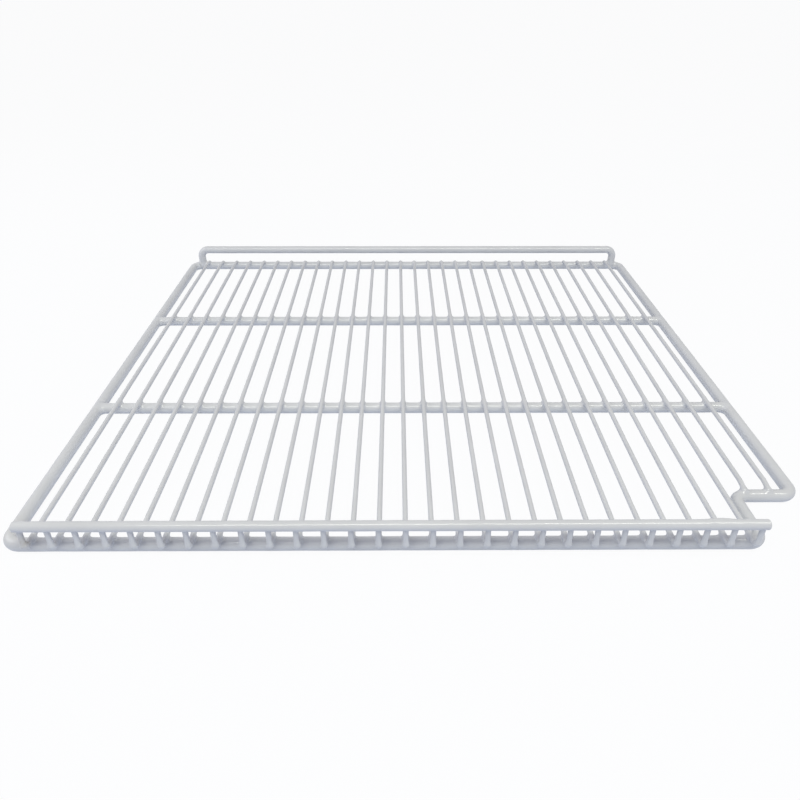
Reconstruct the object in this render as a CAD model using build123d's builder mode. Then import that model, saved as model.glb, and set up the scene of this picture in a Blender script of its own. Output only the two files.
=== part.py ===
"""Refrigerator wire shelf: coated steel rods and wires, each one a separate welded piece.

A thick rod bent into a closed loop carries two cross rods and a deck of thin wires. Most wires turn up
past the front bar and hold a lip rod, and a U-shaped guard rail stands on the back bar.
"""

import os

from build123d import *

# Driving dimensions in mm, measured over the plastic coat.
# +X is right, +Y is back and +Z is up. The frame lies on Z = 0, and the whole shelf is centred on X and Y.
shelf_width = 627.6  # outside of the two side rods
frame_depth = 563.6  # outside of the front bar to outside of the back bar
frame_diameter = 10.6
frame_bend_radius = 10.5  # at the rod's axis, as are all bend radii

notch_width = 49.8  # room beside the front bar, from the outside of the right side rod
notch_depth = 51.7  # room in front of the right side rod, from the outside of the front bar

cross_rod_diameter = 10.6
cross_rod_inset = 181.4  # axis of a cross rod to the axis of the nearest bar

wire_count = 30
wire_diameter = 3.9
side_gap = 21.4  # axis of a side rod to the axis of the wire beside it
wire_overhang = 1.0  # cut end of a wire past the axis of the bar below it

tip_reach = 9.6  # axis of the upturned tips in front of the front bar's axis
tip_bend_radius = 4.0

lip_diameter = 8.0
lip_height = 36.8  # top of the lip rod above the underside of the frame
lip_overhang = 4.0  # end of the lip rod past the axis of the outermost tip
lip_end_chamfer = 1.0

rail_diameter = 10.0
rail_leg_inset = 17.3  # outside of a side rod to the axis of the leg beside it
rail_height = 34.1  # top of the rail above the underside of the frame
rail_bend_radius = 10.0

# The stock is round. It is drawn with flats, so that crossing pieces seat face to face at their welds
# and so many bent pieces stay light. Whole flats in each quarter turn put one on every side.
rod_flats_per_quarter = 5
wire_flats_per_quarter = 2

# Places that follow from the driving dimensions.
frame_radius = frame_diameter / 2
side_x = shelf_width / 2 - frame_radius
front_reach = tip_reach + lip_diameter / 2
overall_depth = front_reach + frame_depth - frame_radius
front_bar_y = front_reach - overall_depth / 2
back_bar_y = overall_depth / 2 - frame_radius

notch_leg_x = side_x - notch_width
notch_bar_y = front_bar_y + notch_depth

cross_rod_z = frame_diameter - cross_rod_diameter / 2
cross_rod_end_x = side_x - frame_radius
cross_rod_ys = {
    "front_cross_rod": front_bar_y + cross_rod_inset,
    "rear_cross_rod": back_bar_y - cross_rod_inset,
}

first_wire_x = side_gap - side_x
wire_pitch = -2 * first_wire_x / (wire_count - 1)
wire_z = frame_diameter + wire_diameter / 2
wire_back_y = back_bar_y + wire_overhang
wire_xs = [first_wire_x + wire_pitch * number for number in range(wire_count)]
full_wire_xs = [x for x in wire_xs if x < notch_leg_x]

tip_y = front_bar_y - tip_reach
tip_top_z = lip_height - lip_diameter
lip_z = lip_height - lip_diameter / 2

rail_leg_x = shelf_width / 2 - rail_leg_inset
rail_z = rail_height - rail_diameter / 2

os.makedirs("parts", exist_ok=True)


def stock_section(diameter, flats_per_quarter):
    """Draw the section of a rod or wire, with a flat on each side of the sketch's own axes."""
    flats = 4 * flats_per_quarter
    RegularPolygon(diameter / 2, flats, major_radius=False, rotation=180 / flats)


# Perimeter frame: one rod bent into a closed loop that steps round the notch at the front right.
with BuildPart() as perimeter_frame:
    with BuildLine(Plane.XY.offset(frame_radius)) as frame_axis:
        FilletPolyline(
            (-side_x, back_bar_y),
            (-side_x, front_bar_y),
            (notch_leg_x, front_bar_y),
            (notch_leg_x, notch_bar_y),
            (side_x, notch_bar_y),
            (side_x, back_bar_y),
            radius=frame_bend_radius,
            close=True,
        )
    with BuildSketch(Plane(origin=frame_axis.line @ 0, x_dir=(0, 0, 1), z_dir=frame_axis.line % 0)):
        stock_section(frame_diameter, rod_flats_per_quarter)
    sweep()
perimeter_frame.part.label = "perimeter_frame"
export_step(perimeter_frame.part, "parts/perimeter_frame.step")


# Cross rods: cut square and butted between the side rods, with their tops level with the frame's.
for name, cross_rod_y in cross_rod_ys.items():
    with BuildPart() as cross_rod:
        with BuildSketch(Plane.YZ):
            with Locations((cross_rod_y, cross_rod_z)):
                stock_section(cross_rod_diameter, rod_flats_per_quarter)
        extrude(amount=cross_rod_end_x, both=True)
    cross_rod.part.label = name
    export_step(cross_rod.part, f"parts/{name}.step")


# Deck wires: evenly spaced from side to side, lying on every bar that they cross. A wire that clears the
# notch runs on past the front bar and turns up to the lip rod. The others stop on the notch's crosswise leg.
for number, wire_x in enumerate(wire_xs, start=1):
    with BuildPart() as deck_wire:
        with BuildLine(Plane.YZ.offset(wire_x)) as wire_axis:
            if wire_x in full_wire_xs:
                FilletPolyline(
                    (wire_back_y, wire_z),
                    (tip_y, wire_z),
                    (tip_y, tip_top_z),
                    radius=tip_bend_radius,
                )
            else:
                Line((wire_back_y, wire_z), (notch_bar_y - wire_overhang, wire_z))
        with BuildSketch(Plane(origin=wire_axis.line @ 0, x_dir=(1, 0, 0), z_dir=wire_axis.line % 0)):
            stock_section(wire_diameter, wire_flats_per_quarter)
        sweep()
    deck_wire.part.label = f"deck_wire_{number:02d}"
    export_step(deck_wire.part, f"parts/{deck_wire.part.label}.step")


# Front lip rod: lies along the tops of the upturned tips, its ends eased by the coat.
with BuildPart() as front_lip_rod:
    lip_start_x = full_wire_xs[0] - lip_overhang
    lip_end_x = full_wire_xs[-1] + lip_overhang
    with BuildSketch(Plane.YZ.offset(lip_start_x)):
        with Locations((tip_y, lip_z)):
            stock_section(lip_diameter, rod_flats_per_quarter)
    extrude(amount=lip_end_x - lip_start_x)
    chamfer(front_lip_rod.faces().filter_by(Axis.X).edges(), lip_end_chamfer)
front_lip_rod.part.label = "front_lip_rod"
export_step(front_lip_rod.part, "parts/front_lip_rod.step")


# Rear guard rail: a wide U of rod above the back bar, its legs cut square and standing on top of the bar.
with BuildPart() as rear_guard_rail:
    with BuildLine(Plane.XZ.offset(-back_bar_y)) as rail_axis:
        FilletPolyline(
            (-rail_leg_x, frame_diameter),
            (-rail_leg_x, rail_z),
            (rail_leg_x, rail_z),
            (rail_leg_x, frame_diameter),
            radius=rail_bend_radius,
        )
    with BuildSketch(Plane(origin=rail_axis.line @ 0, x_dir=(0, 1, 0), z_dir=rail_axis.line % 0)):
        stock_section(rail_diameter, rod_flats_per_quarter)
    sweep()
rear_guard_rail.part.label = "rear_guard_rail"
export_step(rear_guard_rail.part, "parts/rear_guard_rail.step")
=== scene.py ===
"""Dress the refrigerator wire shelf in its dipped plastic coat and set it in a plain studio.

The solids give each piece's place and size. Every rod and wire is drawn again as a smooth round tube along
its own centre line. Where a piece is welded to another, its coat swells into the pool that dipping leaves
in the corner.
"""

import logging
import math
from collections.abc import Sequence
from dataclasses import dataclass
from enum import Enum

import bpy
import numpy as np
from mathutils import Matrix, Vector


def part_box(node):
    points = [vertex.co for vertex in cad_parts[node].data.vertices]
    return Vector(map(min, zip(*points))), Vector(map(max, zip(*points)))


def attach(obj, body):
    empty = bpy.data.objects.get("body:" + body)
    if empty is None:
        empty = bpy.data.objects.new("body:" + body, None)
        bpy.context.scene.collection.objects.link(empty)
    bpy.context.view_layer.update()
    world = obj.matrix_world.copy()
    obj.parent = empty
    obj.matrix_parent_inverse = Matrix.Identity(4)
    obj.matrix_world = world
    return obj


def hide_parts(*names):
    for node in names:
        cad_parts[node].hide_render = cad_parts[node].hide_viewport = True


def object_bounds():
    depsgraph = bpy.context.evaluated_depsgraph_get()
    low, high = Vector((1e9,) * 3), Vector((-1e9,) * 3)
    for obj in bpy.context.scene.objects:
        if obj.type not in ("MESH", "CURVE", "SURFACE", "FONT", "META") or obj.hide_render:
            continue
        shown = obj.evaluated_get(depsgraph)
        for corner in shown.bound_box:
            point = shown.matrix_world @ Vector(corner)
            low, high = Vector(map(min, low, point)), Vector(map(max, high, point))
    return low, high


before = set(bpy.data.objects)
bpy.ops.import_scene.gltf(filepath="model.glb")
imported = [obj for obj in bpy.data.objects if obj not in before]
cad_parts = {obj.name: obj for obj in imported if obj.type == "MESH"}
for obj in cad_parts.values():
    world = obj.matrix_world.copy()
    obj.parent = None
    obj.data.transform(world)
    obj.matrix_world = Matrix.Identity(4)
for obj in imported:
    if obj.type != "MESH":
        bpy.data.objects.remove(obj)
CAD_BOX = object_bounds()

Array = np.ndarray
Socket = bpy.types.NodeSocket
Point = tuple[float, float, float]
Colour = tuple[float, float, float, float]

MM = 0.001
BODY = "root"
# The pool mask: how far the coat swells at a weld; the coat uses it for painted shade in the weld corners
# and for more gloss.
POOL_AND_SHADE_ATTRIBUTE = "pool"
STAIN_ATTRIBUTE = "stain"
NEGLIGIBLE = 1e-9  # lengths below this count as none

# Stations added to a rod's evenly spaced ones, and the least distance between any two.
WELD_STATIONS = 25
BUMP_STATIONS = 15
BUMP_REACH = 2.2  # in lengths of the bump
END_STATIONS = 9
STATION_GRID = 0.05 * MM

# Slow waves of the coat: their lengths along the rod, how often they go round it, and their shares.
WAVE_LENGTHS = np.array([61 * MM, 37 * MM, 23 * MM])
WAVE_LOBES = np.array([1, 2, -1])
WAVE_SHARES = np.array([0.5, 0.3, 0.2])

FULL_POOL = 2 * MM  # a swelling this high gets the whole painted shade and gloss of a weld pool
BUTT_INSET = 0.2 * MM  # how much further inside the solids' box a butted rod stays

log = logging.getLogger("wire_shelf")


class BendPlane(Enum):
    """The plane that a rod was bent in, given by its normal."""

    LEVEL = (0.0, 0.0, 1.0)
    FRONT_TO_BACK = (1.0, 0.0, 0.0)
    UPRIGHT = (0.0, 1.0, 0.0)


def unit(vectors: Array) -> Array:
    """Scale vectors to length one, leaving zero vectors at zero.

    Args:
        vectors: an array whose last axis holds x, y and z.

    Returns:
        An array of the same shape.
    """
    length = np.linalg.norm(vectors, axis=-1, keepdims=True)
    return vectors / np.maximum(length, NEGLIGIBLE)


class BentPath:
    """A rod's centre line in one plane: straight runs joined by tangent arcs.

    At a corner the arc of radius R that turns by T starts R tan(T / 2) before the corner. Along an arc the
    centre line is start + R sin(u / R) heading + R (1 - cos(u / R)) inward, and along a run it is
    start + u heading, where u is the length from the stretch's start.
    """

    def __init__(
        self,
        corners: Sequence[Point],
        bend_radius: float,
        plane: BendPlane,
        closed: bool = False,
    ) -> None:
        """Divide the route into arcs and straight runs.

        Args:
            corners: the sharp corners of the route, with its two ends if it is open.
            bend_radius: the radius of every arc.
            plane: the plane that the rod was bent in.
            closed: whether the route returns to its first corner.
        """
        self.plane_normal = np.array(plane.value)
        self.closed = closed
        points = np.asarray(corners, float)
        onward = np.roll(points, -1, axis=0)
        leaving = unit(onward - points)
        arriving = np.roll(leaving, 1, axis=0)
        cosine = np.sum(arriving * leaving, axis=1)
        turn = np.arccos(np.clip(cosine, -1.0, 1.0))
        if not closed:
            turn[[0, -1]] = 0.0
        trim = bend_radius * np.tan(turn / 2)
        inward = unit(leaving - cosine[:, None] * arriving)
        run_length = np.linalg.norm(onward - points, axis=1) - trim - np.roll(trim, -1)
        if not closed:
            run_length[-1] = 0.0
            arriving[0] = leaving[0]
        arc_start = points - arriving * trim[:, None]
        run_start = points + leaving * trim[:, None]
        self._start = np.stack([arc_start, run_start], 1).reshape(-1, 3)
        self._heading = np.stack([arriving, leaving], 1).reshape(-1, 3)
        self._inward = np.stack([inward, inward], 1).reshape(-1, 3)
        self._bend = np.stack([np.full_like(turn, 1 / bend_radius), np.zeros_like(turn)], 1).ravel()
        self._length = np.stack([bend_radius * turn, run_length], 1).ravel()
        self._begin = np.concatenate([[0.0], np.cumsum(self._length)[:-1]])
        self.length = float(self._length.sum())

    @classmethod
    def straight(cls, start: Point, end: Point) -> "BentPath":
        """Lay out a rod with no bends, so that its bend radius is never used.

        Args:
            start: its first end.
            end: its last end.

        Returns:
            The path.
        """
        return cls([start, end], bend_radius=1.0, plane=BendPlane.LEVEL)

    def at(self, stations: Array) -> tuple[Array, Array]:
        """Find the centre line and its direction.

        Args:
            stations: lengths along the path.

        Returns:
            The points and the unit tangents at those stations.
        """
        used = np.flatnonzero(self._length > NEGLIGIBLE)
        place = np.searchsorted(self._begin[used], stations, side="right") - 1
        stretch = used[np.clip(place, 0, len(used) - 1)]
        along = (stations - self._begin[stretch])[:, None]
        bend = self._bend[stretch][:, None]
        safe = np.where(bend > 0, bend, 1.0)
        forward = np.where(bend > 0, np.sin(along * safe) / safe, along)
        sideways = np.where(bend > 0, (1 - np.cos(along * safe)) / safe, 0.0)
        heading = self._heading[stretch]
        inward = self._inward[stretch]
        points = self._start[stretch] + forward * heading + sideways * inward
        tangents = np.cos(along * bend) * heading + np.sin(along * bend) * inward
        return points, tangents

    def bend_stations(self, steps: int) -> Array:
        """Spread stations evenly over every arc.

        Args:
            steps: how many steps each arc is divided into.

        Returns:
            The stations of all the arcs.
        """
        arcs = np.flatnonzero((self._bend > 0) & (self._length > NEGLIGIBLE))
        share = np.linspace(0.0, 1.0, steps + 1)
        return (self._begin[arcs][:, None] + share * self._length[arcs][:, None]).ravel()

    def chords(
        self,
        place: Point,
        trim: tuple[float, float],
        room: float = 24 * MM,
        step: float = 3 * MM,
    ) -> Array:
        """Cut the path near a point into short straight chords.

        Args:
            place: the point.
            trim: how far the chords stop short of an open path's two ends.
            room: how far to either side of the point the chords go.
            step: the length of each chord.

        Returns:
            The two ends of each chord.
        """
        stations = self.nearest(place) + np.arange(-room, room + step, step)
        if self.closed:
            stations = stations % self.length
        else:
            stations = np.unique(np.clip(stations, trim[0], self.length - trim[1]))
        points, _ = self.at(stations)
        return np.stack([points[:-1], points[1:]], axis=1)

    def nearest(self, place: Point, steps_per_mm: int = 4) -> float:
        """Find the station nearest to a point.

        Args:
            place: the point.
            steps_per_mm: how finely the path is searched.

        Returns:
            Its length along the path.
        """
        stations = np.linspace(0.0, self.length, steps_per_mm * int(self.length / MM))
        points, _ = self.at(stations)
        return float(stations[np.argmin(np.linalg.norm(points - np.asarray(place), axis=1))])


@dataclass(frozen=True)
class Joint:
    """Two pieces welded together, and the pool of coat in the corner between them.

    The pool is width wide, and narrows to front_share of that at front_room in front of the weld.
    """

    first: str
    second: str
    place: Point
    width: float
    front_share: float = 1.0
    front_room: float = 6 * MM


@dataclass(frozen=True, eq=False)
class Weld:
    """A joint as one of its two pieces meets it: the other piece is a chain of round bars.

    The chain is cut off by planes, each given by a point and the direction that points out of the chain.
    Spokes are followed in steps, to search times the pool's width outside the piece's own radius.
    """

    joint: Joint
    chords: Array
    radius: float
    planes: Array
    sink: float = 0.8 * MM
    steps: int = 26
    search: float = 1.6

    def height(self, points: Array) -> Array:
        """Measure how far points lie outside the other piece, negative inside it.

        Args:
            points: an array whose last axis holds x, y and z.

        Returns:
            The distance of each point to the nearest bar of the chain, or past a plane if that is more.
        """
        nearest = np.full(points.shape[:-1], np.inf)
        for begin, end in self.chords:
            along = end - begin
            share = np.clip((points - begin) @ along / (along @ along), 0.0, 1.0)
            away = points - begin - share[..., None] * along
            nearest = np.minimum(nearest, np.linalg.norm(away, axis=-1))
        distance = nearest - self.radius
        for place, outward in self.planes:
            distance = np.maximum(distance, (points - place) @ outward)
        return distance

    def width(self, points: Array) -> Array:
        """Work out the pool's width, narrower in front of the weld if the joint says so.

        Args:
            points: an array whose last axis holds x, y and z.

        Returns:
            The width at each point.
        """
        forward = np.clip((self.joint.place[1] - points[..., 1]) / self.joint.front_room, 0.0, 1.0)
        return self.joint.width * (1 - (1 - self.joint.front_share) * forward)

    def reach(self, centres: Array, spokes: Array, radius: Array) -> Array:
        """Follow spokes out from the centre line until they leave the coat.

        The coat is the smooth union of both pieces. This piece's own height is a, the other's is b, and
        h = 1/2 + (b - a) / (2 width) is held to 0..1. The coat's surface is where
        b (1 - h) + a h - width h (1 - h) is zero. Past the middle of the pool, where a > b, this piece
        dives under the other by sink ((a - b) / width)^2. A spoke that enters the other piece ends at the
        depth sink under its skin.

        Args:
            centres: points on the centre line.
            spokes: unit vectors round each of those points.
            radius: the piece's own radius along each spoke.

        Returns:
            The length of each spoke.
        """
        extra = np.linspace(0.0, self.search * self.joint.width, self.steps)
        own = np.broadcast_to(extra, radius.shape + extra.shape)
        length = radius[..., None] + own
        points = centres[:, None, None, :] + spokes[:, :, None, :] * length[..., None]
        other = self.height(points)
        width = self.width(points)
        share = np.clip(0.5 + (other - own) / (2 * width), 0.0, 1.0)
        union = other * (1 - share) + own * share - width * share * (1 - share)
        dive = self.sink * np.clip((own - other) / width, 0.0, 1.0) ** 2
        field = np.maximum(union + dive, -(other + self.sink))
        outside = field >= 0
        crossing = np.maximum(np.argmax(outside, axis=-1), 1)
        last = np.where(outside.any(axis=-1), crossing, self.steps - 1)
        before = np.take_along_axis(field, last[..., None] - 1, axis=-1)[..., 0]
        after = np.take_along_axis(field, last[..., None], axis=-1)[..., 0]
        part = np.clip(-before / np.where(after > before, after - before, 1.0), 0.0, 1.0)
        return radius + (last - 1 + part) * (extra[1] - extra[0])


@dataclass(frozen=True)
class Bump:
    """A local swelling of the coat, round like a bell along the rod and towards one side.

    Its default spread takes it evenly all round the rod.
    """

    station: float
    height: float
    length: float
    side: float = 0.0
    spread: float = 100.0

    def relief(self, stations: Array, angles: Array) -> Array:
        """Work out height exp(-(s / length)^2) exp(-(turn / spread)^2).

        Args:
            stations: lengths along the path.
            angles: angles round the section.

        Returns:
            The added radius at each station and angle.
        """
        along = np.exp(-(((stations - self.station) / self.length) ** 2))
        turn = np.angle(np.exp(1j * (angles - self.side)))
        return self.height * along[:, None] * np.exp(-((turn / self.spread) ** 2))[None, :]


@dataclass(frozen=True)
class Stain:
    """A discoloured patch that fades out from its middle."""

    place: Point
    size: float
    strength: float

    def mask(self, points: Array) -> Array:
        """Work out strength exp(-(distance / size)^2).

        Args:
            points: an array whose last axis holds x, y and z.

        Returns:
            The mask at each point.
        """
        distance = np.linalg.norm(points - np.array(self.place), axis=-1)
        return self.strength * np.exp(-((distance / self.size) ** 2))


@dataclass
class CoatedRod:
    """One rod or wire, drawn as a round tube with its coat."""

    node: str
    path: BentPath
    radius: float
    seed: int
    sides: int = 36
    focus: float = 0.0
    spacing: float = 9 * MM
    bend_steps: int = 14
    wave: float = 0.06 * MM
    welds: tuple[Weld, ...] = ()
    bumps: tuple[Bump, ...] = ()
    end_rounding: float = 1.2 * MM
    free_ends: tuple[bool, bool] = (False, False)
    butted: bool = False
    stains: tuple[Stain, ...] = ()

    def weld_to(self, other: "CoatedRod", joint: Joint) -> None:
        """Weld this piece and another one together.

        Args:
            other: the other piece.
            joint: where they meet.
        """
        self.welds = (*self.welds, other.as_met(joint))
        other.welds = (*other.welds, self.as_met(joint))

    def as_met(self, joint: Joint) -> Weld:
        """Describe this rod as the other piece at a joint meets it.

        At a free end its chain of bars ends in a ball, and at a butted end it is cut off square.

        Args:
            joint: where they meet.

        Returns:
            The weld for the other piece.
        """
        first, last = self.free_ends
        chords = self.path.chords(joint.place, (first * self.radius, last * self.radius))
        ends, tangents = self.path.at(np.array([0.0, self.path.length]))
        planes = np.stack([ends, tangents * np.array([[-1.0], [1.0]])], axis=1)
        return Weld(joint, chords, self.radius, planes if self.butted else planes[:0])

    def stations(self) -> Array:
        """Choose the stations: even along the rod, closer at its bends, welds, bumps and ends.

        Returns:
            The stations in order, on a fine grid.
        """
        length = self.path.length
        parts = [
            np.linspace(0.0, length, int(length / self.spacing) + 2),
            self.path.bend_stations(self.bend_steps),
        ]
        for weld in self.welds:
            room = weld.radius + weld.joint.width
            parts.append(self.path.nearest(weld.joint.place) + np.linspace(-room, room, WELD_STATIONS))
        around_bump = np.linspace(-BUMP_REACH, BUMP_REACH, BUMP_STATIONS)
        parts += [bump.station + around_bump * bump.length for bump in self.bumps]
        if not self.path.closed:
            rounding = 1 - np.cos(np.linspace(0.0, math.pi / 2, END_STATIONS))
            parts += [self.end_rounding * rounding, length - self.end_rounding * rounding]
        steps = np.unique(np.round(np.clip(np.concatenate(parts), 0.0, length) / STATION_GRID))
        stations = np.clip(steps * STATION_GRID, 0.0, length)
        return stations[:-1] if self.path.closed else stations

    def waviness(self, stations: Array, angles: Array) -> Array:
        """Work out the slow sine waves that run along and round the rod, as an uneven coat.

        Args:
            stations: lengths along the path.
            angles: angles round the section.

        Returns:
            The added radius at each station and angle.
        """
        phase = np.random.default_rng(self.seed).uniform(0.0, math.tau, len(WAVE_LENGTHS))
        turns = math.tau * np.round(self.path.length / WAVE_LENGTHS) / self.path.length
        angle = stations[:, None, None] * turns + angles[None, :, None] * WAVE_LOBES + phase
        return self.wave * (np.sin(angle) @ WAVE_SHARES)

    def end_profile(self, stations: Array) -> Array:
        """Draw in the radius at an open rod's ends as a quarter ellipse.

        Args:
            stations: lengths along the path.

        Returns:
            A factor for the radius, zero at the ends and one along the rod.
        """
        if self.path.closed:
            return np.ones_like(stations)
        from_end = np.minimum(stations, self.path.length - stations)
        room = np.minimum(from_end / self.end_rounding, 1.0)
        return np.sqrt(np.clip(1 - (1 - room) ** 2, 0.0, 1.0))

    def surface(self) -> tuple[Array, Array]:
        """Carry the section along the path, with its waves, bumps and pools.

        The point at station s and angle a is centre(s) + reach(s, a) (cos a normal + sin a side), where
        side is tangent x normal. The angles a = u - focus cos u lie closest at -90 degrees.

        Returns:
            The points, by station and angle, and how far the pool swells there from 0 to 1.
        """
        stations = self.stations()
        turns = np.linspace(0.0, math.tau, self.sides, endpoint=False)
        angles = turns - self.focus * np.cos(turns)
        centres, tangents = self.path.at(stations)
        side = np.cross(tangents, self.path.plane_normal)
        across = np.cos(angles)[None, :, None] * self.path.plane_normal
        spokes = across + np.sin(angles)[None, :, None] * side[:, None, :]
        radius = self.radius - self.wave + self.waviness(stations, angles)
        radius += sum((bump.relief(stations, angles) for bump in self.bumps), np.zeros_like(radius))
        radius *= self.end_profile(stations)[:, None]
        reach = radius.copy()
        for weld in self.welds:
            room = weld.radius + 2 * weld.joint.width
            near = np.abs(stations - self.path.nearest(weld.joint.place)) < room
            weld_shaded = weld.reach(centres[near], spokes[near], radius[near])
            reach[near] = np.maximum(reach[near], weld_shaded)
        swelling = np.clip((reach - radius) / FULL_POOL, 0.0, 1.0)
        return centres[:, None, :] + spokes * reach[..., None], swelling

    def faces(self, rings: int) -> list[list[int]]:
        """List the tube's faces: quads between rings, and fans that close an open rod's ends.

        Args:
            rings: how many rings the tube has, with the poles left out.

        Returns:
            The corners of each face, with outward normals.
        """
        count = rings if self.path.closed else rings - 1
        ring = np.arange(count)[:, None]
        turn = np.arange(self.sides)[None, :]
        around = (turn + 1) % self.sides
        here = ring * self.sides
        onward = (ring + 1) % rings * self.sides
        corners = [here + turn, here + around, onward + around, onward + turn]
        quads = np.stack(corners, axis=-1).reshape(-1, 4)
        if self.path.closed:
            return quads.tolist()
        pole = np.full(self.sides, rings * self.sides)
        last_ring = (rings - 1) * self.sides
        start = np.stack([pole, around[0], turn[0]], axis=-1)
        finish = np.stack([pole + 1, last_ring + turn[0], last_ring + around[0]], axis=-1)
        return quads.tolist() + start.tolist() + finish.tolist()

    def build(self, material: bpy.types.Material) -> None:
        """Make the piece's mesh, put it in place of its solid and give it its coat.

        Args:
            material: the finish.
        """
        points, swelling = self.surface()
        poles = np.zeros((0, 3))
        if not self.path.closed:
            poles = np.stack([points[0].mean(axis=0), points[-1].mean(axis=0)])
            points = points[1:-1]
            swelling = swelling[1:-1]
        vertices = np.concatenate([points.reshape(-1, 3), poles])
        pool = np.concatenate([swelling.ravel(), np.zeros(len(poles))])
        # The pools stay inside the solids' box.
        inset = BUTT_INSET if self.butted else 0.0
        low, high = np.array(CAD_BOX)
        vertices = np.clip(vertices, low + inset, high - inset)
        stained = sum((stain.mask(vertices) for stain in self.stains), np.zeros(len(vertices)))
        mesh = bpy.data.meshes.new(f"{self.node}_coat")
        mesh.from_pydata(vertices.tolist(), [], self.faces(len(points)))
        mesh.shade_smooth()
        # The swelling is stored as the mask that paints shade into the weld corners and raises their
        # gloss.
        self._paint(mesh, POOL_AND_SHADE_ATTRIBUTE, pool)
        self._paint(mesh, STAIN_ATTRIBUTE, stained)
        mesh.materials.append(material)
        piece = bpy.data.objects.new(f"{self.node}_coat", mesh)
        bpy.context.scene.collection.objects.link(piece)
        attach(piece, BODY)
        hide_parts(self.node)
        log.info("%s: %d faces", piece.name, len(mesh.polygons))

    @staticmethod
    def _paint(mesh: bpy.types.Mesh, name: str, values: Array) -> None:
        """Store one value for each vertex.

        Args:
            mesh: the mesh.
            name: the attribute's name.
            values: the values in the order of the vertices.
        """
        layer = mesh.attributes.new(name, "FLOAT", "POINT")
        layer.data.foreach_set("value", values.astype(np.float32))


@dataclass(frozen=True)
class ShelfPlan:
    """Where the shelf's rods run, measured on the solids."""

    frame_radius: float
    side_x: float
    front_y: float
    back_y: float
    notch_leg_x: float
    notch_bar_y: float
    wire_radius: float
    wire_z: float
    tip_y: float

    @classmethod
    def from_solids(cls, notch_width: float = 49.8 * MM, notch_depth: float = 51.7 * MM) -> "ShelfPlan":
        """Measure the solids.

        Args:
            notch_width: room beside the front bar, from the outside of the right side rod.
            notch_depth: room in front of the right side rod, from the outside of the front bar.

        Returns:
            The plan.
        """
        low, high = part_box("perimeter_frame")
        wire_low, wire_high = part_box("deck_wire_29")
        lip_low, lip_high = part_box("front_lip_rod")
        radius = (high.z - low.z) / 2
        front_y = low.y + radius
        return cls(
            frame_radius=radius,
            side_x=high.x - radius,
            front_y=front_y,
            back_y=high.y - radius,
            notch_leg_x=high.x - radius - notch_width,
            notch_bar_y=front_y + notch_depth,
            wire_radius=(wire_high.z - wire_low.z) / 2,
            wire_z=(wire_high.z + wire_low.z) / 2,
            tip_y=(lip_low.y + lip_high.y) / 2,
        )

    @property
    def flat_top(self) -> float:
        """Give a height that only wires with an upturned tip pass."""
        return self.wire_z + 2 * self.wire_radius

    def frame_path(self, bend_radius: float = 10.5 * MM) -> BentPath:
        """Lay out the frame's closed loop from the back left corner round the front.

        Args:
            bend_radius: the radius of its corners.

        Returns:
            The path.
        """
        level = self.frame_radius
        corners = [
            (-self.side_x, self.back_y, level),
            (-self.side_x, self.front_y, level),
            (self.notch_leg_x, self.front_y, level),
            (self.notch_leg_x, self.notch_bar_y, level),
            (self.side_x, self.notch_bar_y, level),
            (self.side_x, self.back_y, level),
        ]
        return BentPath(corners, bend_radius, BendPlane.LEVEL, closed=True)


@dataclass
class SubAssembly:
    """Some of the shelf's pieces, laid out on its plan."""

    plan: ShelfPlan

    def rods(self) -> list[CoatedRod]:
        """Lay out the rods, in each sub-assembly's own way."""
        raise NotImplementedError

    def joints(self) -> list[Joint]:
        """List the joints that the sub-assembly brings with it.

        Returns:
            No joints, unless a sub-assembly has its own.
        """
        return []


@dataclass
class PerimeterFrame(SubAssembly):
    """The thick rod bent into a closed loop, with its notch and the butt weld in its back bar."""

    sides: int = 40
    seed: int = 1
    weld_x: float = 6 * MM
    weld_height: float = 0.6 * MM
    weld_length: float = 3 * MM
    weld_side: float = -2.2
    weld_spread: float = 0.8
    stain_inset: float = 12 * MM
    stain_size: float = 14 * MM
    stain_strength: float = 0.25

    def rods(self) -> list[CoatedRod]:
        """Draw the loop, with a faint stain at its left front corner.

        Returns:
            The one rod.
        """
        plan = self.plan
        path = plan.frame_path()
        station = path.nearest((self.weld_x, plan.back_y, plan.frame_radius))
        weld = Bump(station, self.weld_height, self.weld_length, self.weld_side, self.weld_spread)
        corner = (-plan.side_x, plan.front_y + self.stain_inset, 2 * plan.frame_radius)
        stain = Stain(corner, self.stain_size, self.stain_strength)
        loop = CoatedRod("perimeter_frame", path, plan.frame_radius, self.seed, self.sides)
        loop.bumps = (weld,)
        loop.stains = (stain,)
        return [loop]


@dataclass
class CrossRods(SubAssembly):
    """The two thick rods butted between the side rods."""

    nodes: tuple[str, str] = ("front_cross_rod", "rear_cross_rod")
    first_seed: int = 2
    pool_width: float = 3.6 * MM

    def rods(self) -> list[CoatedRod]:
        """Lay out both rods from axis to axis of the side rods, so that their coats run into each other.

        Returns:
            The two rods.
        """
        rods = []
        for seed, node in enumerate(self.nodes, start=self.first_seed):
            low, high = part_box(node)
            y = (low.y + high.y) / 2
            z = (low.z + high.z) / 2
            path = BentPath.straight((-self.plan.side_x, y, z), (self.plan.side_x, y, z))
            rods.append(CoatedRod(node, path, (high.z - low.z) / 2, seed, butted=True))
        return rods

    def joints(self) -> list[Joint]:
        """Weld the ends of both rods to the side rods.

        Returns:
            The four joints.
        """
        joints = []
        for node in self.nodes:
            low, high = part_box(node)
            y = (low.y + high.y) / 2
            z = (low.z + high.z) / 2
            for x in (low.x, high.x):
                joints.append(Joint(node, "perimeter_frame", (x, y, z), self.pool_width))
        return joints


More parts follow.
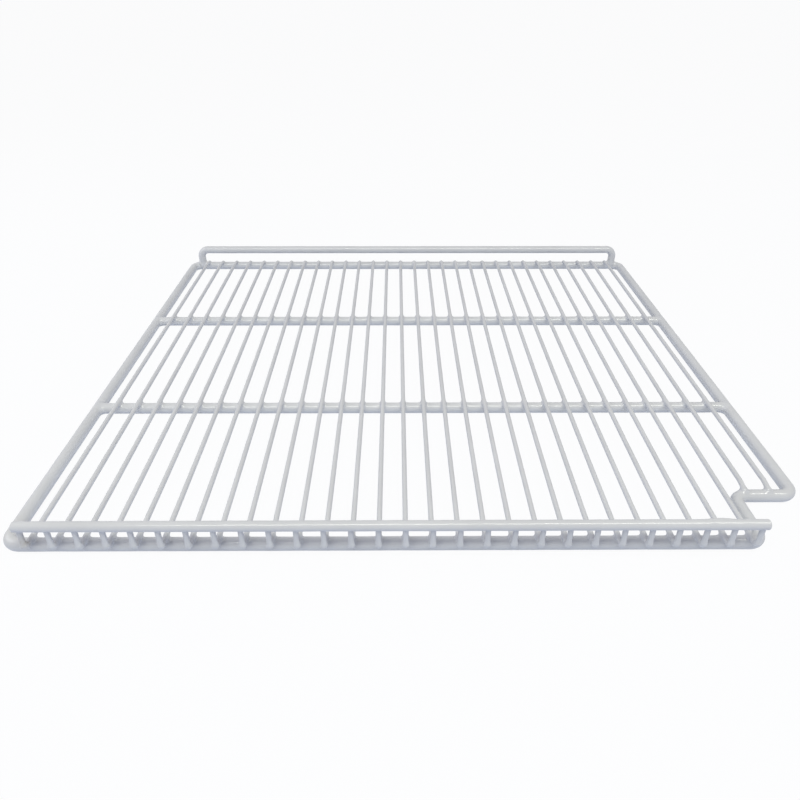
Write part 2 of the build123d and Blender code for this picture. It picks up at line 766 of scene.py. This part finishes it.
@dataclass
class Deck(SubAssembly):
    """The thin wires that goods stand on, and their upturned tips."""

    count: int = 30
    fullness: float = 0.12 * MM
    tip_bend_radius: float = 3.2 * MM
    tip_bury: float = 1.0 * MM
    tip_lean: float = 0.8 * MM
    front_pool_width: float = 3.4 * MM
    front_share: float = 0.12
    rod_pool_width: float = 3.8 * MM
    back_pool_width: float = 2.2 * MM
    notch_pool_width: float = 3.4 * MM
    lip_pool_width: float = 0.9 * MM
    pool_spread: float = 0.12
    pool_seed: int = 100
    end_sag: float = 2.0 * MM
    end_run: float = 12 * MM
    bulb_height: float = 0.8 * MM
    bulb_length: float = 3.4 * MM
    sides: int = 28
    focus: float = 0.4
    spacing: float = 24 * MM
    bend_steps: int = 10
    wave: float = 0.03 * MM
    wave_seed: int = 10
    stained_wire: int = 1
    stain_height: float = 6 * MM
    stain_size: float = 7 * MM
    stain_strength: float = 0.8

    def rods(self) -> list[CoatedRod]:
        """Lay out every wire.

        Returns:
            The wires from left to right.
        """
        return [self._wire(number) for number in range(1, self.count + 1)]

    def joints(self) -> list[Joint]:
        """Weld every wire to the bars and rods that it crosses, and every tip to the lip rod.

        Returns:
            The joints.
        """
        return [joint for number in range(1, self.count + 1) for joint in self._wire_joints(number)]

    def _wire(self, number: int) -> CoatedRod:
        """Lay out one wire from its back end to its tip, or to the notch if it has none.

        A cut end sags into the bar that it is welded to. The coat thickens round a tip's bend.

        Args:
            number: its place from the left, which also picks its unevenness.

        Returns:
            The wire.
        """
        plan = self.plan
        node = f"deck_wire_{number:02d}"
        low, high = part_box(node)
        x = (low.x + high.x) / 2
        sunk = plan.wire_z - self.end_sag
        corners = [(x, high.y, sunk), (x, high.y - self.end_run, plan.wire_z)]
        foot = (x, plan.tip_y - self.tip_lean, plan.wire_z)
        turned_up = high.z > plan.flat_top
        if turned_up:
            lip_low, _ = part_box("front_lip_rod")
            corners += [foot, (x, plan.tip_y, lip_low.z + self.tip_bury)]
        else:
            corners += [(x, low.y + self.end_run, plan.wire_z), (x, low.y, sunk)]
        rod = CoatedRod(
            node,
            BentPath(corners, self.tip_bend_radius, BendPlane.FRONT_TO_BACK),
            plan.wire_radius + self.fullness,
            self.wave_seed + number,
            self.sides,
            self.focus,
            self.spacing,
            self.bend_steps,
            self.wave,
            free_ends=(True, not turned_up),
        )
        if turned_up:
            rod.bumps = (Bump(rod.path.nearest(foot), self.bulb_height, self.bulb_length),)
        if number == self.stained_wire:
            place = (x, plan.tip_y, plan.wire_z + self.stain_height)
            rod.stains = (Stain(place, self.stain_size, self.stain_strength),)
        return rod

    def _wire_joints(self, number: int) -> list[Joint]:
        """Weld one wire.

        Args:
            number: its place from the left, which also picks the sizes of its pools.

        Returns:
            The joints from back to front.
        """
        plan = self.plan
        node = f"deck_wire_{number:02d}"
        low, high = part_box(node)
        x = (low.x + high.x) / 2
        level = plan.wire_z - plan.wire_radius
        draws = np.random.default_rng(self.pool_seed + number).uniform(-1.0, 1.0, 5)
        back, rear, middle, front, lip = 1 + self.pool_spread * draws
        bar = "perimeter_frame"
        joints = [Joint(node, bar, (x, plan.back_y, level), self.back_pool_width * back)]
        for rod, factor in (("rear_cross_rod", rear), ("front_cross_rod", middle)):
            rod_low, rod_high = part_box(rod)
            place = (x, (rod_low.y + rod_high.y) / 2, level)
            joints.append(Joint(node, rod, place, self.rod_pool_width * factor))
        if high.z <= plan.flat_top:
            place = (x, plan.notch_bar_y, level)
            joints.append(Joint(node, bar, place, self.notch_pool_width * front))
            return joints
        place = (x, plan.front_y, level)
        joints.append(Joint(node, bar, place, self.front_pool_width * front, self.front_share))
        lip_low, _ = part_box("front_lip_rod")
        place = (x, plan.tip_y, lip_low.z)
        joints.append(Joint(node, "front_lip_rod", place, self.lip_pool_width * lip))
        return joints


@dataclass
class FrontLip(SubAssembly):
    """The rod along the tops of the upturned tips, with a run and a fold in its coat at the right."""

    seed: int = 5
    end_rounding: float = 1.6 * MM
    run_inset: float = 35.5 * MM
    run_height: float = 0.9 * MM
    run_length: float = 8 * MM
    run_side: float = -0.75
    run_spread: float = 0.55
    fold_before: float = 6.5 * MM
    fold_height: float = 0.45 * MM
    fold_length: float = 2.2 * MM

    def rods(self) -> list[CoatedRod]:
        """Lay out the rod from left to right.

        Returns:
            The one rod.
        """
        low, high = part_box("front_lip_rod")
        radius = (high.z - low.z) / 2
        y = self.plan.tip_y
        path = BentPath.straight((low.x, y, low.z + radius), (high.x, y, low.z + radius))
        start = path.length - self.run_inset
        run = Bump(start, self.run_height, self.run_length, self.run_side, self.run_spread)
        start -= self.fold_before
        fold = Bump(start, self.fold_height, self.fold_length, spread=self.run_spread)
        rod = CoatedRod("front_lip_rod", path, radius, self.seed, end_rounding=self.end_rounding)
        rod.bumps = (run, fold)
        return [rod]


@dataclass
class RearRail(SubAssembly):
    """The U-shaped rail that stands on the back bar."""

    seed: int = 6
    bend_radius: float = 10 * MM
    pool_width: float = 3.6 * MM

    def rods(self) -> list[CoatedRod]:
        """Lay out the U down to the back bar's axis, so that their coats run into each other.

        Returns:
            The one rod.
        """
        y = self.plan.back_y
        left, right, radius, top = self._legs()
        foot = self.plan.frame_radius
        corners = [(left, y, foot), (left, y, top), (right, y, top), (right, y, foot)]
        path = BentPath(corners, self.bend_radius, BendPlane.UPRIGHT)
        return [CoatedRod("rear_guard_rail", path, radius, self.seed, butted=True)]

    def joints(self) -> list[Joint]:
        """Weld both legs to the back bar.

        Returns:
            The two joints.
        """
        left, right, _, _ = self._legs()
        level = 2 * self.plan.frame_radius
        return [
            Joint("rear_guard_rail", "perimeter_frame", (x, self.plan.back_y, level), self.pool_width)
            for x in (left, right)
        ]

    def _legs(self) -> tuple[float, float, float, float]:
        """Measure the rail's solid.

        Returns:
            The two legs' places, the rod's radius and the height of its top run, at the axis.
        """
        low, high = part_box("rear_guard_rail")
        radius = (high.y - low.y) / 2
        return low.x + radius, high.x - radius, radius, high.z - radius


class ShaderTree:
    """Short forms for adding nodes to one shader tree and linking them."""

    def __init__(self, tree: bpy.types.NodeTree) -> None:
        """Start on an empty tree.

        Args:
            tree: the node tree of a material, a world or a group.
        """
        self.tree = tree
        tree.nodes.clear()

    def add(self, kind: str, group: bpy.types.NodeTree | None = None, **inputs: object) -> bpy.types.Node:
        """Add a node and fill its inputs.

        Args:
            kind: the node's type.
            group: the group that a group node stands for.
            inputs: for each input, named with _ for a space, a value or a socket to link.

        Returns:
            The node.
        """
        node = self.tree.nodes.new(kind)
        if group is not None:
            node.node_tree = group
        for name, value in inputs.items():
            self.feed(node.inputs[name.replace("_", " ")], value)
        return node

    def feed(self, socket: Socket, value: object) -> None:
        """Link a socket to an input, or set the input's value.

        Args:
            socket: the input.
            value: a value or a socket to link.
        """
        if isinstance(value, Socket):
            self.tree.links.new(value, socket)
        else:
            socket.default_value = value

    def maths(self, operation: str, first: object, second: object) -> Socket:
        """Add a node that works out one number from two.

        Args:
            operation: the node's operation.
            first: a value or socket.
            second: a value or socket.

        Returns:
            The result.
        """
        node = self.tree.nodes.new("ShaderNodeMath")
        node.operation = operation
        self.feed(node.inputs[0], first)
        self.feed(node.inputs[1], second)
        return node.outputs[0]

    def blend(self, share: object, first: object, second: object) -> Socket:
        """Add a node that mixes two colours.

        Args:
            share: how much of the second colour is used, from 0 to 1.
            first: a colour or socket.
            second: a colour or socket.

        Returns:
            The mixed colour.
        """
        node = self.tree.nodes.new("ShaderNodeMix")
        node.data_type = "RGBA"
        colours = [socket for socket in node.inputs if socket.type == "RGBA"]
        self.feed(node.inputs[0], share)
        self.feed(colours[0], first)
        self.feed(colours[1], second)
        return next(socket for socket in node.outputs if socket.type == "RGBA")

    def mix(self, share: object, first: bpy.types.Node, second: bpy.types.Node) -> Socket:
        """Add a node that mixes two shaders.

        Args:
            share: how much of the second shader is used, from 0 to 1.
            first: a shader node.
            second: a shader node.

        Returns:
            The mixed shader.
        """
        node = self.tree.nodes.new("ShaderNodeMixShader")
        for socket, value in zip(node.inputs, (share, first.outputs[0], second.outputs[0])):
            self.feed(socket, value)
        return node.outputs[0]

    def span(
        self,
        value: object,
        low: float,
        high: float,
        to_low: float = 0.0,
        to_high: float = 1.0,
    ) -> Socket:
        """Add a node that maps one range of numbers on to another.

        Args:
            value: the number.
            low: where the first range starts.
            high: where it ends.
            to_low: what low becomes.
            to_high: what high becomes.

        Returns:
            The mapped number.
        """
        node = self.add(
            "ShaderNodeMapRange", Value=value, From_Min=low, From_Max=high, To_Min=to_low, To_Max=to_high
        )
        return node.outputs[0]

    def noise(self, size: object, detail: float) -> Socket:
        """Add noise in object space.

        Args:
            size: the size of its patches in metres, a value or a socket.
            detail: how many finer layers it has.

        Returns:
            The noise, around one half.
        """
        place = self.tree.nodes.new("ShaderNodeTexCoord").outputs["Object"]
        scale = self.maths("DIVIDE", 1.0, size)
        return self.add("ShaderNodeTexNoise", Vector=place, Scale=scale, Detail=detail).outputs[0]

    def mask(self, name: str) -> Socket:
        """Read one of the values stored on the mesh.

        Args:
            name: the attribute's name.

        Returns:
            The value.
        """
        node = self.tree.nodes.new("ShaderNodeAttribute")
        node.attribute_name = name
        return node.outputs["Fac"]


class CoatGroups:
    """The node groups that all the coats share."""

    BROAD_DETAIL = 1.5
    FINE_DETAIL = 2.0
    COLOUR_DETAIL = 3.0
    PATCH_RANGE = (0.35, 0.65)
    BLOTCH_SIZE = 4 * MM
    BLOTCH_RANGE = (0.3, 0.7)
    BLOTCH_LEAST = 0.3

    def __init__(self) -> None:
        """Build both groups once."""
        self.peel = self._peel()
        self.tint = self._tint()

    @staticmethod
    def _group(
        name: str,
        inputs: dict[str, str],
        outputs: dict[str, str],
    ) -> tuple[ShaderTree, dict[str, Socket], bpy.types.Node]:
        """Start a group.

        Args:
            name: the group's name.
            inputs: the socket type of each named input.
            outputs: the socket type of each named output.

        Returns:
            Its tree, its input sockets by name and its output node.
        """
        tree = bpy.data.node_groups.new(name, "ShaderNodeTree")
        for label, kind in inputs.items():
            tree.interface.new_socket(label, in_out="INPUT", socket_type=kind)
        for label, kind in outputs.items():
            tree.interface.new_socket(label, in_out="OUTPUT", socket_type=kind)
        sketch = ShaderTree(tree)
        entry = tree.nodes.new("NodeGroupInput")
        given = {label: entry.outputs[label] for label in inputs}
        return sketch, given, tree.nodes.new("NodeGroupOutput")

    def _peel(self) -> bpy.types.NodeTree:
        """Make the dimpled height of a thick dipped coat: broad dimples with finer ones on them.

        Returns:
            The group, with the height in its one output.
        """
        sketch, given, result = self._group(
            "dipped_peel",
            dict.fromkeys(("Dimple Size", "Fine Size", "Fine Share"), "NodeSocketFloat"),
            {"Height": "NodeSocketFloat"},
        )
        broad = sketch.noise(given["Dimple Size"], self.BROAD_DETAIL)
        fine = sketch.noise(given["Fine Size"], self.FINE_DETAIL)
        fine = sketch.maths("MULTIPLY", fine, given["Fine Share"])
        sketch.feed(result.inputs["Height"], sketch.maths("ADD", broad, fine))
        return sketch.tree

    def _tint(self) -> bpy.types.NodeTree:
        """Make the coat's uneven colour: drifting tones of white, painted shade where the coat pools at
        welds, and any stain.

        Returns:
            The group, with the colour and a gloss mask as outputs.
        """
        colours = ("White", "Shade", "Pool Colour", "Stain Colour")
        values = ("Patch Size", "Pool", "Stain")
        sketch, given, result = self._group(
            "dipped_tint",
            dict.fromkeys(colours, "NodeSocketColor") | dict.fromkeys(values, "NodeSocketFloat"),
            {"Colour": "NodeSocketColor", "Gloss": "NodeSocketFloat"},
        )
        patch = sketch.span(sketch.noise(given["Patch Size"], self.COLOUR_DETAIL), *self.PATCH_RANGE)
        drifted = sketch.blend(patch, given["White"], given["Shade"])
        # Painted shade: where the coat pools at a weld its colour is made darker and bluer, as the shade
        # in the corner between welded pieces.
        weld_shaded = sketch.blend(given["Pool"], drifted, given["Pool Colour"])
        blotch = sketch.noise(self.BLOTCH_SIZE, self.COLOUR_DETAIL)
        blotch = sketch.span(blotch, *self.BLOTCH_RANGE, to_low=self.BLOTCH_LEAST)
        stain = sketch.maths("MULTIPLY", given["Stain"], blotch)
        stained = sketch.blend(stain, weld_shaded, given["Stain Colour"])
        sketch.feed(result.inputs["Colour"], stained)
        sketch.feed(result.inputs["Gloss"], sketch.maths("MAXIMUM", patch, given["Pool"]))
        return sketch.tree


@dataclass(frozen=True)
class DippedCoat:
    """A white plastic coat, dipped and baked on steel.

    Its gloss fades to edge_gloss where the surface turns away, between the two values of fade.
    """

    name: str
    white: Colour = (0.745, 0.745, 0.745, 1.0)
    shade: Colour = (0.705, 0.705, 0.705, 1.0)
    # Painted shade: the darker, bluer colour given to the coat where it pools at welds, standing in for
    # the shade in those corners.
    pool_painted_shade: Colour = (0.69, 0.695, 0.715, 1.0)
    stain_colour: Colour = (0.50, 0.44, 0.36, 1.0)
    patch_size: float = 0.05
    dimple_size: float = 0.006
    fine_size: float = 0.0014
    fine_share: float = 0.04
    bump_distance: float = 0.00015
    smooth: float = 0.16
    rough: float = 0.24
    gloss: float = 0.72
    edge_gloss: float = 0.05
    fade: tuple[float, float] = (0.2, 0.7)
    ior: float = 1.5

    def material(self, groups: CoatGroups) -> bpy.types.Material:
        """Build the material.

        Args:
            groups: the shared node groups.

        Returns:
            The material.
        """
        material = bpy.data.materials.new(self.name)
        material.use_nodes = True
        sketch = ShaderTree(material.node_tree)
        tint = sketch.add(
            "ShaderNodeGroup",
            groups.tint,
            White=self.white,
            Shade=self.shade,
            Pool_Colour=self.pool_painted_shade,
            Stain_Colour=self.stain_colour,
            Patch_Size=self.patch_size,
            Pool=sketch.mask(POOL_AND_SHADE_ATTRIBUTE),
            Stain=sketch.mask(STAIN_ATTRIBUTE),
        )
        peel = sketch.add(
            "ShaderNodeGroup",
            groups.peel,
            Dimple_Size=self.dimple_size,
            Fine_Size=self.fine_size,
            Fine_Share=self.fine_share,
        )
        bump = sketch.add("ShaderNodeBump", Distance=self.bump_distance, Height=peel.outputs["Height"])
        facing = sketch.add("ShaderNodeLayerWeight").outputs["Facing"]
        shader = sketch.add(
            "ShaderNodeBsdfPrincipled",
            Base_Color=tint.outputs["Colour"],
            Roughness=sketch.span(tint.outputs["Gloss"], 0.0, 1.0, self.rough, self.smooth),
            Normal=bump.outputs["Normal"],
            IOR=self.ior,
            Specular_IOR_Level=sketch.span(facing, *self.fade, self.gloss, self.edge_gloss),
        )
        sketch.add("ShaderNodeOutputMaterial", Surface=shader.outputs[0])
        return material


@dataclass(frozen=True)
class SoftLamp:
    """One rectangular soft light."""

    name: str
    place: Point
    target: Point
    width: float
    depth: float
    power: float
    colour: tuple[float, float, float]

    def build(self) -> None:
        """Hang the lamp and aim it."""
        data = bpy.data.lights.new(self.name, "AREA")
        data.shape = "RECTANGLE"
        data.size = self.width
        data.size_y = self.depth
        data.energy = self.power
        data.color = self.colour
        lamp = bpy.data.objects.new(self.name, data)
        lamp.location = self.place
        aim = Vector(self.target) - Vector(self.place)
        lamp.rotation_euler = aim.to_track_quat("-Z", "Y").to_euler()
        bpy.context.scene.collection.objects.link(lamp)


@dataclass(frozen=True)
class PhotoCamera:
    """The camera that took the photograph, as a plain lens over the shelf's front edge."""

    place: Point = (-0.01678, -0.62041, 0.36323)
    down: float = math.radians(33.370)
    right: float = math.radians(0.416)
    roll: float = math.radians(0.117)
    focal_pixels: float = 650.03
    image_pixels: float = 800.0
    sensor: float = 36.0
    nearest: float = 0.01
    farthest: float = 100.0

    def build(self) -> None:
        """Set the camera and make it the scene's."""
        data = bpy.data.cameras.new("photo_camera")
        data.sensor_width = self.sensor
        data.lens = self.sensor * self.focal_pixels / self.image_pixels
        data.clip_start = self.nearest
        data.clip_end = self.farthest
        camera = bpy.data.objects.new("photo_camera", data)
        turn = Matrix.Rotation(-self.right, 4, "Z")
        tilt = Matrix.Rotation(math.pi / 2 - self.down, 4, "X")
        twist = Matrix.Rotation(self.roll, 4, "Z")
        camera.matrix_world = Matrix.Translation(self.place) @ turn @ tilt @ twist
        bpy.context.scene.collection.objects.link(camera)
        bpy.context.scene.camera = camera


@dataclass(frozen=True)
class Studio:
    """A pale floor under soft light, shown white to the camera."""

    floor_half: float = 30.0
    floor_drop: float = 0.2 * MM
    floor_colour: Colour = (0.76, 0.825, 0.98, 1.0)
    white_share: float = 0.95
    white: Colour = (1.0, 1.0, 1.0, 1.0)
    ambient: Colour = (0.79, 0.81, 0.96, 1.0)
    ambient_strength: float = 0.385
    lamps: tuple[SoftLamp, ...] = (
        SoftLamp("front_lamp", (0.3, -0.8, 1.6), (0.1, -0.05, 0.0), 2.4, 0.2, 18.2, (0.99, 1.0, 0.89)),
        SoftLamp("left_lamp", (-1.3, 0.0, 0.8), (0.0, 0.0, 0.0), 1.0, 0.8, 4.65, (0.93, 0.95, 1.0)),
    )

    def build(self) -> None:
        """Lay the floor, light the world and hang the lamps."""
        scene = bpy.context.scene
        scene.view_settings.view_transform = "Standard"
        self._floor()
        self._world(scene)
        for lamp in self.lamps:
            lamp.build()

    @staticmethod
    def _seen(sketch: ShaderTree) -> Socket:
        """Tell rays that look at a surface, straight or by reflection, from rays that light it.

        Args:
            sketch: the tree of the surface or world.

        Returns:
            One for a ray that looks, and zero for one that lights.
        """
        rays = sketch.tree.nodes.new("ShaderNodeLightPath").outputs
        mirrored = sketch.maths("MAXIMUM", rays["Is Glossy Ray"], rays["Is Transmission Ray"])
        return sketch.maths("MAXIMUM", rays["Is Camera Ray"], mirrored)

    def _floor(self) -> None:
        """Lay a wide floor that looks white and keeps a faint shadow."""
        half = self.floor_half
        height = -self.floor_drop
        mesh = bpy.data.meshes.new("floor")
        corners = [(x * half, y * half, height) for x, y in ((-1, -1), (1, -1), (1, 1), (-1, 1))]
        mesh.from_pydata(corners, [], [(0, 1, 2, 3)])
        floor = bpy.data.objects.new("floor", mesh)
        bpy.context.scene.collection.objects.link(floor)
        material = bpy.data.materials.new("pale_floor")
        material.use_nodes = True
        sketch = ShaderTree(material.node_tree)
        lit = sketch.add("ShaderNodeBsdfDiffuse", Color=self.floor_colour)
        glow = sketch.add("ShaderNodeEmission", Color=self.white, Strength=1.0)
        share = sketch.maths("MULTIPLY", self._seen(sketch), self.white_share)
        sketch.add("ShaderNodeOutputMaterial", Surface=sketch.mix(share, lit, glow))
        mesh.materials.append(material)

    def _world(self, scene: bpy.types.Scene) -> None:
        """Show a white world to the camera and light the shelf with a dimmer, cooler one.

        Args:
            scene: the scene.
        """
        world = bpy.data.worlds.new("studio_world")
        scene.world = world
        world.use_nodes = True
        sketch = ShaderTree(world.node_tree)
        dim = sketch.add("ShaderNodeBackground", Color=self.ambient, Strength=self.ambient_strength)
        bright = sketch.add("ShaderNodeBackground", Color=self.white, Strength=1.0)
        sketch.add("ShaderNodeOutputWorld", Surface=sketch.mix(self._seen(sketch), dim, bright))


def main() -> None:
    """Build the shelf's sub-assemblies, then the studio and the camera."""
    logging.basicConfig(level=logging.INFO, format="%(name)s %(message)s")
    plan = ShelfPlan.from_solids()
    groups = CoatGroups()
    rod_coat = DippedCoat("rod_coat").material(groups)
    finer_coat = DippedCoat("wire_coat", dimple_size=0.0045, fine_size=0.0011, bump_distance=0.0001)
    wire_coat = finer_coat.material(groups)
    assemblies = (PerimeterFrame(plan), CrossRods(plan), Deck(plan), FrontLip(plan), RearRail(plan))
    rods = {rod.node: rod for assembly in assemblies for rod in assembly.rods()}
    for assembly in assemblies:
        for joint in assembly.joints():
            rods[joint.first].weld_to(rods[joint.second], joint)
    for node, rod in rods.items():
        rod.build(wire_coat if node.startswith("deck_wire") else rod_coat)
    Studio().build()
    PhotoCamera().build()


if __name__ == "__main__":
    main()
